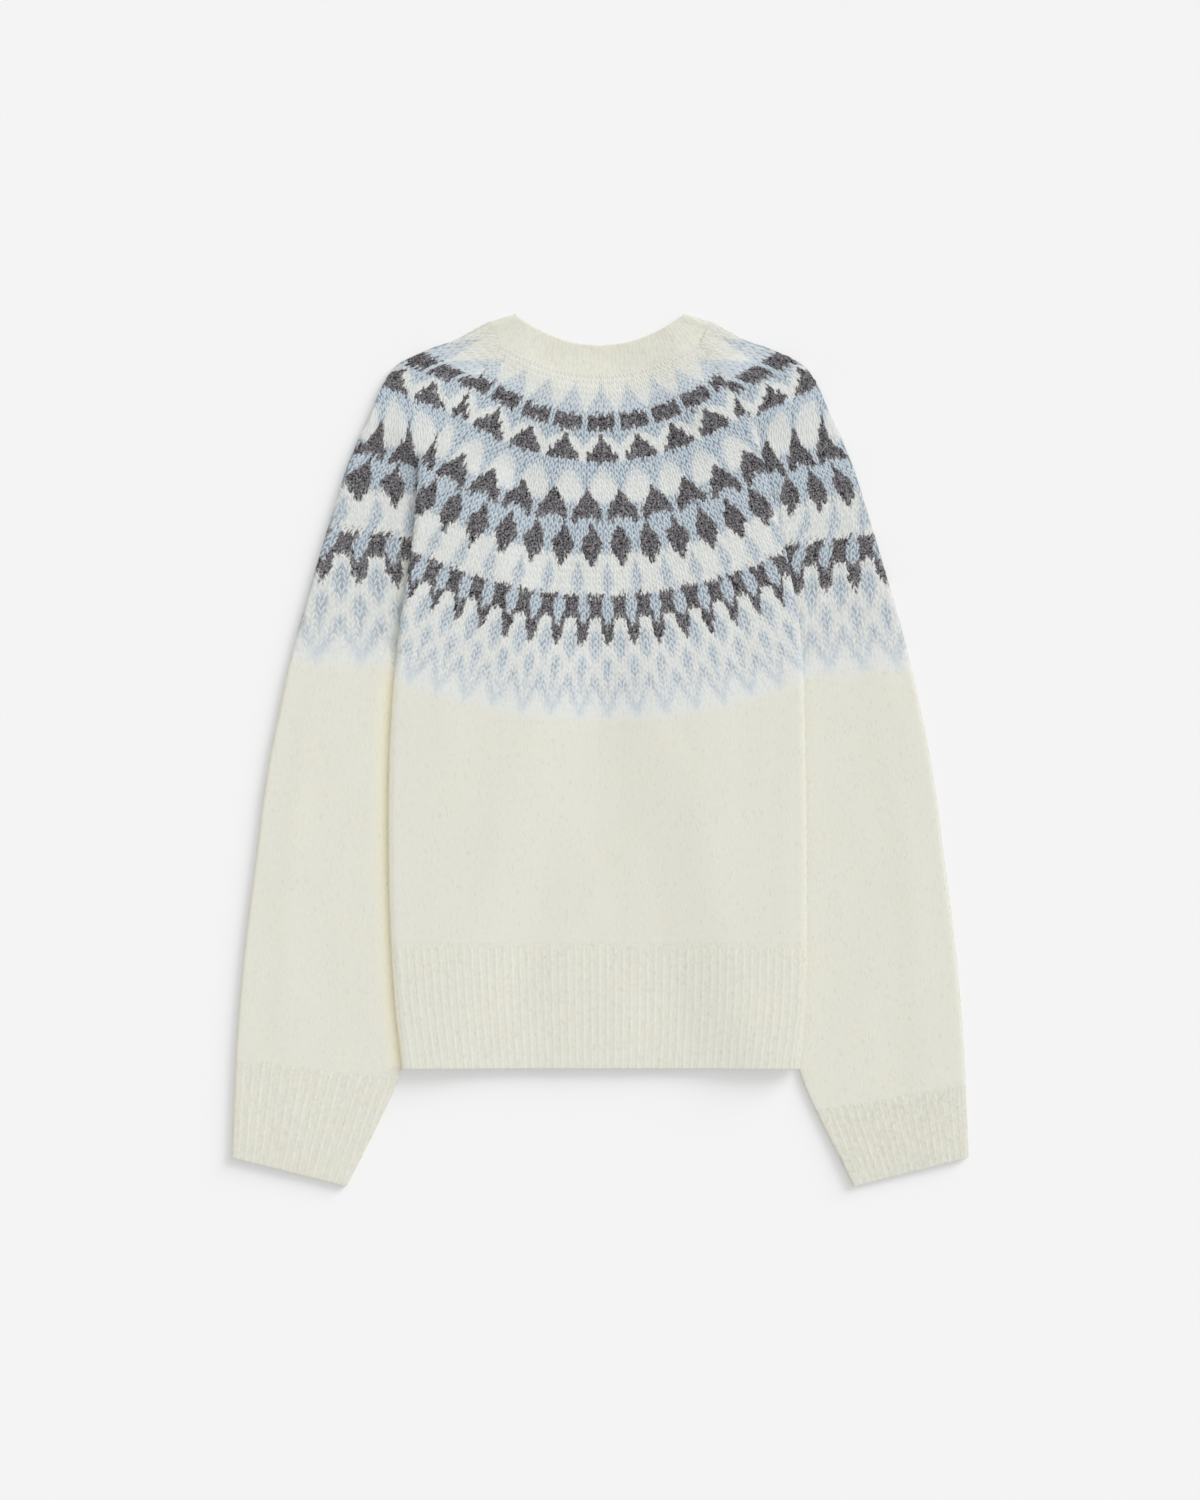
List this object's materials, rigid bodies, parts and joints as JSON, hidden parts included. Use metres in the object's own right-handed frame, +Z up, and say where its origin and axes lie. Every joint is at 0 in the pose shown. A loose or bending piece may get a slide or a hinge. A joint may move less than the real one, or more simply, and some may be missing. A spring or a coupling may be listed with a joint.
{
  "type": "jacquard cardigan",
  "caption": "Round-yoke jacquard cardigan laid flat with its back up, sides folded under, long sleeves down, ribbed neck, cuffs, hem and button bands.",
  "frame": {"origin": "under the middle of the garment, on the surface it lies on", "axes": "+X towards the wearer's right side, +Y towards the neck, +Z up out of the garment's back"},
  "size_m": [0.5668, 0.6716, 0.0145],
  "materials": {
    "body_knit": "brushed wool stocking stitch, cream, with a white, pale blue and charcoal jacquard yoke",
    "rib_knit": "brushed wool rib, cream",
    "button": "satin resin"
  },
  "bodies": {
    "root": {"back": "body_knit", "front_left": "body_knit", "front_right": "body_knit", "sleeve_left": "body_knit", "sleeve_right": "body_knit", "hem_rib_back": "rib_knit", "hem_rib_front_left": "rib_knit", "hem_rib_front_right": "rib_knit", "cuff_left": "rib_knit", "cuff_right": "rib_knit", "neckband": "rib_knit", "button_band": "rib_knit", "buttonhole_band": "rib_knit", "button_1": "button", "button_2": "button", "button_3": "button", "button_4": "button", "button_5": "button", "button_6": "button", "button_7": "button"}
  },
  "joints": []
}
